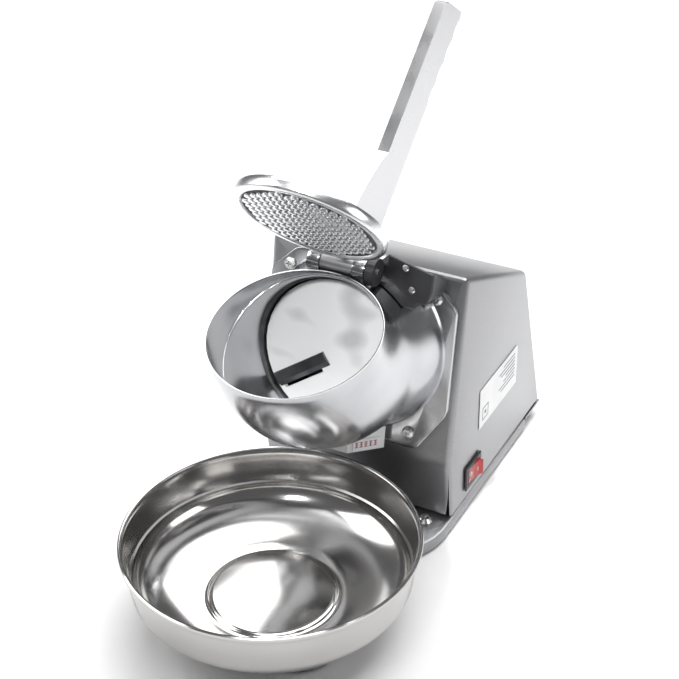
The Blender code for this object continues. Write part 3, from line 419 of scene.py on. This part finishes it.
for name, node, body, finish, slot, width, steps, angle in copies:
    piece = copied(name, node)
    if width:
        rounded(piece, width, steps, 30)
    finished(piece, body, finishes[finish], [node], angle)
    if width:
        evened(piece)
print("Copies made:", len(copies))


bowlLow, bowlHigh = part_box("serving_bowl")
bowl = {
    "place": Vector((0, (bowlLow.y + bowlHigh.y) / 2, bowlLow.z)),
    "radius": 0.105,
    "depth": 0.0534,
    "wall": 0.0010,
    "base": 0.0495,  # radius of the ring it stands on
    "side": (0.0515, 0.0006),  # radius and height where the curved side starts
    "shoulder": (0.099, 0.0254),  # and where it ends and the steep wall starts
    "sideSteps": 13,
    "rimRoll": 0.0030,  # how far the rolled rim stands out from the wall
    # outlines as (across, up): feet from the base ring, rims from the bowl's edge
    "footOutside": ((-0.0080, 0.0022), (-0.0062, 0.0020), (-0.0048, 0.0008), (-0.0030, 0.0001),
                    (-0.0005, 0.0)),
    "footInside": ((0.0010, 0.0006), (-0.0008, 0.0002), (-0.0030, 0.0003), (-0.0044, 0.0014),
                   (-0.0058, 0.0024), (-0.0076, 0.0026)),
    "rimOutside": ((-0.0012, -0.0040), (-0.0002, -0.0030), (0.0, -0.0018), (-0.0004, -0.0006), (-0.0014, 0.0),
                   (-0.0026, -0.0003)),
}


def bowlSide(step):
    # radius and height on the curved side, a quarter of an ellipse from the base to the shoulder
    turn = math.radians(90 * step / bowl["sideSteps"])
    startRadius, start = bowl["side"]
    endRadius, end = bowl["shoulder"]
    reach = startRadius + (endRadius - startRadius) * math.sin(turn)
    return reach, start + (end - start) * (1 - math.cos(turn))


def makeBowl():
    radius, depth, wall, base = bowl["radius"], bowl["depth"], bowl["wall"], bowl["base"]
    shoulderRadius, shoulder = bowl["shoulder"]
    top = radius - bowl["rimRoll"]
    outside = [(base + across, up) for across, up in bowl["footOutside"]]
    outside += [bowlSide(step) for step in range(bowl["sideSteps"])]
    outside += [(shoulderRadius, shoulder), (shoulderRadius + 0.0004, shoulder + 0.0012)]
    outside += [(top - 0.0012, depth - 0.0100), (top, depth - 0.0042)]
    outside += [(radius + across, depth + up) for across, up in bowl["rimOutside"]]
    inside = [(top - 0.0004, depth - 0.0014), (top - wall, depth - 0.0045),
              (top - 0.0012 - wall, depth - 0.0100), (shoulderRadius + 0.0004 - wall, shoulder + 0.0016),
              (shoulderRadius - wall - 0.0010, shoulder + 0.0006)]
    for step in range(bowl["sideSteps"] - 1, 0, -1):
        reach, rise = bowlSide(step)
        inside.append((reach - 0.8 * wall, rise + wall))
    inside += [(base + across, wall + up) for across, up in bowl["footInside"]]
    piece = turned("servingBowl", outside + inside, 144)
    standAt(piece, bowl["place"])
    finished(piece, "bowl", finishes["bowl"], ["serving_bowl"], 40)


makeBowl()
print("Bowl made")


plate = {
    "reach": 0.0675,  # hinge to the plate's middle
    "angle": math.radians(129.4),  # of that line, above level and back
    "radius": 0.0535,
    "thick": 0.008,
    "knobRadius": 0.0029,
    "knobPitch": 0.0066,
    "knobField": 0.0440,
    "knobRise": 0.0018,
    "knobSink": 0.0002,  # how far a knob's middle stands off the face
    "knobRound": 0.0008,
    "field": 0.0470,  # radius of the sunk face that carries the knobs
    "dishInside": 0.0494,  # radius of the hollow behind the rim
}


def makePlate():
    r, thick, field, hollow = plate["radius"], plate["thick"], plate["field"], plate["dishInside"]
    rings = [(field, 0.0), (field + 0.0004, -0.0003), (field + 0.0007, -0.0010), (field + 0.0016, -0.0013),
             (r - 0.0025, -0.0013), (r - 0.0011, -0.0010), (r - 0.0003, -0.0002), (r, 0.0010), (r, 0.0040),
             (r - 0.0002, thick - 0.0018), (r - 0.0009, thick - 0.0005), (r - 0.0020, thick),
             (r - 0.0032, thick - 0.0004), (r - 0.0038, thick - 0.0014), (hollow, 0.0046),
             (hollow - 0.0006, 0.0036), (hollow - 0.0018, 0.0030)]
    dish = turned("pressPlate", rings, 96)
    bpy.ops.object.select_all(action="DESELECT")
    bpy.ops.mesh.primitive_cylinder_add(vertices=12, radius=plate["knobRadius"], depth=2 * plate["knobRise"])
    knob = named("knob")
    edit(knob)
    pickEdges(knob, lambda a, b: a.z < 0 and b.z < 0)
    bpy.ops.mesh.bevel(offset=plate["knobRound"], segments=2, affect="EDGES")
    bpy.ops.object.mode_set(mode="OBJECT")
    knobs = []
    columnPitch = plate["knobPitch"] * math.sqrt(3) / 2
    most = math.ceil(plate["knobField"] / columnPitch) + 1
    for column in range(-most, most + 1):
        for row in range(-most, most + 1):
            x = column * columnPitch
            y = (row + 0.5 * (column % 2)) * plate["knobPitch"]
            if math.hypot(x, y) > plate["knobField"]:
                continue
            copy = knob.copy()
            copy.data = knob.data.copy()
            copy.location = (x, y, plate["knobSink"])
            bpy.context.scene.collection.objects.link(copy)
            knobs.append(copy)
    bpy.data.objects.remove(knob)
    pick(*knobs)
    bpy.ops.object.transform_apply(location=True, rotation=True, scale=True)
    for part in knobs:
        part.data.materials.append(finishes["plate"])
    dish.data.materials.append(finishes["plate"])
    # painted shade: the sunk face between the knobs gets the dark finish, standing in for the shade in the grooves
    dish.data.materials.append(finishes["sunkFaceShade"])
    for face in dish.data.polygons:
        if face.center.z < 0.0001 and math.hypot(face.center.x, face.center.y) < field - 0.0004:
            face.material_index = 1
    piece = joined("pressPlate", *knobs, dish)
    direction = Vector((0, math.cos(plate["angle"]), math.sin(plate["angle"])))
    standAt(piece, hingePlace + plate["reach"] * direction, plate["angle"] + math.pi)
    finished(piece, "lever", None, ["press_plate"], 40)


makePlate()
print("Press plate made")


hopper = {
    "bore": 0.0568,
    "outer": 0.0602,
    "rim": 0.0591,  # elbow's inside above its crease, where the wall is thin
    "inner": 0.0588,  # below the crease
    "crease": math.radians(40),  # from the drum's mouth
    "root": 0.067,
    "back": 0.0013,
    "floor": 0.0048,
    "mouth": 0.0453,  # drum's mouth ahead of the housing's front
    "elbowRadius": 0.069,
    "elbowTurn": math.radians(65.4),
    "shaftHole": 0.0135,
    "flangeHalf": 0.0735,
    "flangeTop": 0.0585,
    "flangeBottom": 0.075,
    "flangeThick": 0.006,
    "topChamfer": (0.0530, 0.0380),  # half width left along the top, and height left at the side
    "footChamfer": (0.0522, 0.0418),
    "flangeCorner": 0.0041,
    "lugInner": 0.0125,
    "lugThick": 0.009,
    "lugRadius": 0.0085,
    "lugSeat": (0, -0.0026, -0.0010),  # from the lug's round to where it sinks into the elbow
    "lugRound": 0.0009,
    "flangeRound": 0.0012,
    "lipRound": 0.0005,
    # radius and height of the drum's outside, which narrows from the flange to the elbow
    "flare": ((0.0662, 0.0115), (0.0650, 0.0165), (0.0634, 0.0245), (0.0617, 0.0330), (0.0606, 0.0400)),
}


def narrowRing(turn, scale):
    # steps inward from the selected ring of the elbow, about the ring's own middle
    radius = hopper["elbowRadius"]
    middle = (0, radius * (1 - math.cos(turn)), hopper["mouth"] + radius * math.sin(turn))
    bpy.ops.mesh.extrude_edges_move(TRANSFORM_OT_translate={"value": (0, 0, 0)})
    bpy.ops.transform.resize(value=(scale, scale, scale), center_override=middle)


def makeHopper():
    h = hopper
    rings = [(h["root"], h["back"]), (h["root"] + 0.0014, 0.0062), (h["root"] + 0.0004, 0.0072),
             (h["root"] - 0.0002, 0.0090), *h["flare"], (h["outer"], h["mouth"])]
    drum = turned("hopperDrum", rings, 96, "OPEN")
    edit(drum)
    mouthEdge = h["mouth"] - 0.0001
    pickEdges(drum, lambda a, b: a.z > mouthEdge and b.z > mouthEdge)
    centre = (0, h["elbowRadius"], h["mouth"])
    turn, crease = h["elbowTurn"], h["crease"]
    bpy.ops.mesh.spin(steps=24, angle=turn, center=centre, axis=(1, 0, 0))
    narrowRing(turn, h["rim"] / h["outer"])
    bpy.ops.mesh.spin(steps=10, angle=crease - turn, center=centre, axis=(1, 0, 0))
    narrowRing(crease, h["inner"] / h["rim"])
    bpy.ops.mesh.spin(steps=16, angle=-crease, center=centre, axis=(1, 0, 0))
    growRing(h["inner"], h["mouth"], h["bore"], h["mouth"] - 0.0006)
    growRing(h["bore"], h["mouth"] - 0.0006, h["bore"], h["floor"])
    growRing(h["bore"], h["floor"], h["shaftHole"], h["floor"])
    growRing(h["shaftHole"], h["floor"], h["shaftHole"], h["back"])
    growRing(h["shaftHole"], h["back"], h["root"], h["back"])
    closeUp(drum)
    pick(drum)
    rounded(drum, h["lipRound"], 2, 50)
    flange = block("flange", (-h["flangeHalf"], -h["flangeBottom"], gap),
                   (h["flangeHalf"], h["flangeTop"], gap + h["flangeThick"]))
    for side in (-1, 1):
        for chamfer, end in ((h["footChamfer"], -h["flangeBottom"]), (h["topChamfer"], h["flangeTop"])):
            corner = Vector((side * h["flangeHalf"], math.copysign(chamfer[1], end), 0))
            along = Vector((side * chamfer[0], end, 0)) - corner
            outward = Vector((along.y, -along.x, 0))
            if outward.x * side < 0:
                outward = -outward
            trimmed(flange, corner, outward)
    edit(flange)
    pickEdges(flange, lambda a, b: abs(a.x - b.x) + abs(a.y - b.y) < 0.0001)
    bpy.ops.mesh.bevel(offset=h["flangeCorner"], segments=5, affect="EDGES")
    bpy.ops.object.mode_set(mode="OBJECT")
    middleWall = 0.5 * (h["bore"] + h["root"])
    hole = turned("hole", [(middleWall, -0.01), (middleWall, 0.02)], 64)
    cutBy(flange, hole)
    rounded(flange, h["flangeRound"], 3, 50)
    lugs = []
    for side in (-1, 1):
        middle = side * (h["lugInner"] + h["lugThick"] / 2)
        bpy.ops.object.select_all(action="DESELECT")
        bpy.ops.mesh.primitive_cylinder_add(vertices=40, radius=h["lugRadius"], depth=h["lugThick"],
                                            location=(middle, h["elbowRadius"], h["mouth"]),
                                            rotation=(0, math.pi / 2, 0))
        lug = named("lug")
        bpy.ops.object.transform_apply(location=True, rotation=True, scale=True)
        edit(lug)
        pickFaces(lug, lambda centre, normal: normal.y < -0.03)
        bpy.ops.mesh.extrude_region_move(TRANSFORM_OT_translate={"value": h["lugSeat"]})
        bpy.ops.object.mode_set(mode="OBJECT")
        rounded(lug, h["lugRound"], 2, 45)
        lugs.append(lug)
    for part in (flange, drum, *lugs):
        part.data.materials.append(finishes["casting"])
    # painted shade: the drum's inside faces get the dark finish, standing in for the shade inside the drum
    drum.data.materials.append(finishes["drumInsidePaintedShade"])
    for face in drum.data.polygons:
        if face.center.z < h["mouth"] and math.hypot(face.center.x, face.center.y) < h["rim"] - 0.0002:
            face.material_index = 1
    piece = joined("iceHopper", drum, flange, *lugs)
    standAt(piece, motorSeat, faceTip)
    finished(piece, "machine", None, ["hopper"], 32)


makeHopper()
print("Hopper made")


marks = {
    "thick": 0.00006,
    "rows": 7,
    "rowPitch": 0.0032,
    "rowHeight": 0.0011,
    "rowReach": (0.022, 0.031, 0.027, 0.018),
    "rowTop": 0.004,
    "margin": 0.005,
    "square": 0.011,
    "line": 0.0009,
    "dot": (0.004, 0.007),
    "chuteSlant": (0.030, 0.012, 0.012, 0.036),  # across and out at the label's two ends
    "chuteLabelFoot": -0.0755,
    "signs": 5,
    "signStart": 0.0065,
    "signPitch": 0.0038,
    "signWidth": 0.0028,
    "stroke": 0.0007,
    "rockerRing": (0.0017, 0.00026),  # its radius and its line's
    "ringAt": (0.0021, -0.0042, 0),
    "bar": ((0.0030, 0.0041, -0.0018), (0.0036, 0.0046, 0.0018)),
}


def makeRatingPrint():
    # ruled rows and an empty bordered square stand for the rating label's print
    low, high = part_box("rating_label")
    left, right = high.x, high.x + marks["thick"]
    strips = []
    for row in range(marks["rows"]):
        reach = marks["rowReach"][row % len(marks["rowReach"])]
        top = high.z - marks["rowTop"] - row * marks["rowPitch"]
        back = high.y - marks["margin"]
        strips.append(block("row", (left, back - reach, top - marks["rowHeight"]), (right, back, top)))
    size, line = marks["square"], marks["line"]
    dotNear, dotFar = marks["dot"]
    front, foot = low.y + marks["margin"], low.z + marks["margin"]
    for near, far in (((0, 0), (size, line)), ((0, size - line), (size, size)), ((0, line), (line, size - line)),
                      ((size - line, line), (size, size - line)), ((dotNear, dotNear), (dotFar, dotFar))):
        nearCorner = (left, front + near[0], foot + near[1])
        farCorner = (right, front + far[0], foot + far[1])
        strips.append(block("edge", nearCorner, farCorner))
    finished(joined("ratingPrint", *strips), "machine", finishes["ink"])


def makeChutePrint():
    # a row of ruled boxes on the chute's slanted label
    backX, backOut, frontX, frontOut = marks["chuteSlant"]
    along = Vector((frontX - backX, 0, frontOut - backOut)).normalized()
    outward = Vector((along.z, 0, -along.x))
    strips = []
    width, stroke, thick = marks["signWidth"], marks["stroke"], marks["thick"]
    for i in range(marks["signs"]):
        start = marks["signStart"] + marks["signPitch"] * i
        for level, reach in ((0.0020, width), (0.0038, 0.0022 + 0.0003 * (i % 3)), (0.0056, width)):
            strips.append(block("bar", (start, level, 0), (start + reach, level + stroke, thick)))
        strips.append(block("post", (start + 0.001, 0.0020, 0), (start + 0.0018, 0.0063, thick)))
    piece = joined("chutePrint", *strips)
    piece.rotation_euler = (0, math.atan2(-along.z, along.x), 0)
    piece.location = Vector((backX, marks["chuteLabelFoot"], backOut)) + (2.9 * gap) * outward
    pick(piece)
    bpy.ops.object.transform_apply(location=True, rotation=True, scale=True)
    standAt(piece, motorSeat, faceTip)
    finished(piece, "machine", finishes["redInk"])


def makeRockerMarks():
    # ring for off on the pressed half, bar for on at the raised half
    middle = Vector(joints["rocker_tilt"]["pos_m"])
    ringRadius, ringLine = marks["rockerRing"]
    bpy.ops.object.select_all(action="DESELECT")
    bpy.ops.mesh.primitive_torus_add(major_radius=ringRadius, minor_radius=ringLine, major_segments=40,
                                     minor_segments=8, location=middle + Vector(marks["ringAt"]),
                                     rotation=(0, math.radians(90), 0))
    ring = named("ring")
    bpy.ops.object.transform_apply(location=True, rotation=True, scale=True)
    bar = block("bar", *(middle + Vector(corner) for corner in marks["bar"]))
    finished(joined("rockerMarks", ring, bar), "rocker", finishes["print"])


makeRatingPrint()
makeChutePrint()
makeRockerMarks()
print("Marks made")


studio = {
    "floorSize": 8,
    "floorPlace": (0, 0.6, -0.0002),
    "roomColour": (0.75, 0.76, 0.78),
    "roomStrength": 0.2,
    "panels": (
        # name, place, aim, size, power
        ("backPanel", (-0.1, 0.80, 1.35), (-0.1, 0.60, 0), (1.8, 1.4), 34),
        ("leftPanel", (-0.95, -0.35, 0.8), (0, 0, 0.12), (0.7, 0.9), 7),
        ("overPanel", (0.15, -0.30, 1.5), (0.05, -0.20, 0), (0.9, 0.5), 7),
        ("rightPanel", (0.9, 0.15, 0.5), (0.2, 0.1, 0), (0.5, 0.4), 2),
    ),
    "spotPlace": (0.05, -0.75, 1.0),
    "spotAim": (0, -0.01, 0.158),
    "spotPower": 110,
    "spotCone": math.radians(8),
    "spotSoftness": 0.12,
    "eye": Vector((0.4657, -0.8841, 0.7963)),
    "turn": math.radians(27.69),
    "pitch": math.radians(32.24),
    "roll": math.radians(-0.84),
    "lens": 89.6024,
}


def makeStage():
    bpy.ops.object.select_all(action="DESELECT")
    bpy.ops.mesh.primitive_plane_add(size=studio["floorSize"], location=studio["floorPlace"])
    floor = named("studioFloor")
    paper, shader = newFinish("floorPaper", (0.90, 0.90, 0.90), 0.0, 0.9)
    fibres = pattern(paper, 60, 2.0)
    tone = tinted(paper, fibres.outputs["Fac"], [(0.3, (0.895, 0.895, 0.897)), (0.7, (0.905, 0.905, 0.905))])
    paper.node_tree.links.new(tone, shader.inputs["Base Color"])
    floor.data.materials.append(paper)


def aimed(name, lamp, place, aim):
    stand = bpy.data.objects.new(name, lamp)
    stand.location = place
    stand.rotation_euler = (Vector(aim) - Vector(place)).to_track_quat("-Z", "Y").to_euler()
    bpy.context.scene.collection.objects.link(stand)


def makeLight():
    room = bpy.data.worlds.new("room")
    room.use_nodes = True
    back = room.node_tree.nodes["Background"]
    back.inputs["Color"].default_value = (*studio["roomColour"], 1)
    back.inputs["Strength"].default_value = studio["roomStrength"]
    bpy.context.scene.world = room
    for name, place, aim, size, power in studio["panels"]:
        lamp = bpy.data.lights.new(name, "AREA")
        lamp.shape = "RECTANGLE"
        lamp.size, lamp.size_y = size
        lamp.energy = power
        aimed(name, lamp, place, aim)
    lamp = bpy.data.lights.new("mouthSpot", "SPOT")  # lights the disc at the bottom of the hopper
    lamp.energy = studio["spotPower"]
    lamp.spot_size = studio["spotCone"]
    lamp.spot_blend = 0.4
    lamp.shadow_soft_size = studio["spotSoftness"]
    aimed("mouthSpot", lamp, studio["spotPlace"], studio["spotAim"])


def makeCamera():
    turn, pitch, roll = studio["turn"], studio["pitch"], studio["roll"]
    forward = Vector((-math.sin(turn) * math.cos(pitch), math.cos(turn) * math.cos(pitch), -math.sin(pitch)))
    right = Vector((math.cos(turn), math.sin(turn), 0))
    up = right.cross(forward)
    across = math.cos(roll) * right + math.sin(roll) * up
    upright = across.cross(forward)
    view = bpy.data.cameras.new("camera")
    view.sensor_width = 36
    view.lens = studio["lens"]
    eye = bpy.data.objects.new("camera", view)
    place = studio["eye"]
    eye.matrix_world = Matrix((
        (across.x, upright.x, -forward.x, place.x),
        (across.y, upright.y, -forward.y, place.y),
        (across.z, upright.z, -forward.z, place.z),
        (0, 0, 0, 1),
    ))
    bpy.context.scene.collection.objects.link(eye)
    bpy.context.scene.camera = eye


makeStage()
makeLight()
makeCamera()
bpy.context.scene.view_settings.view_transform = "Standard"
print("Stage, light and camera made")
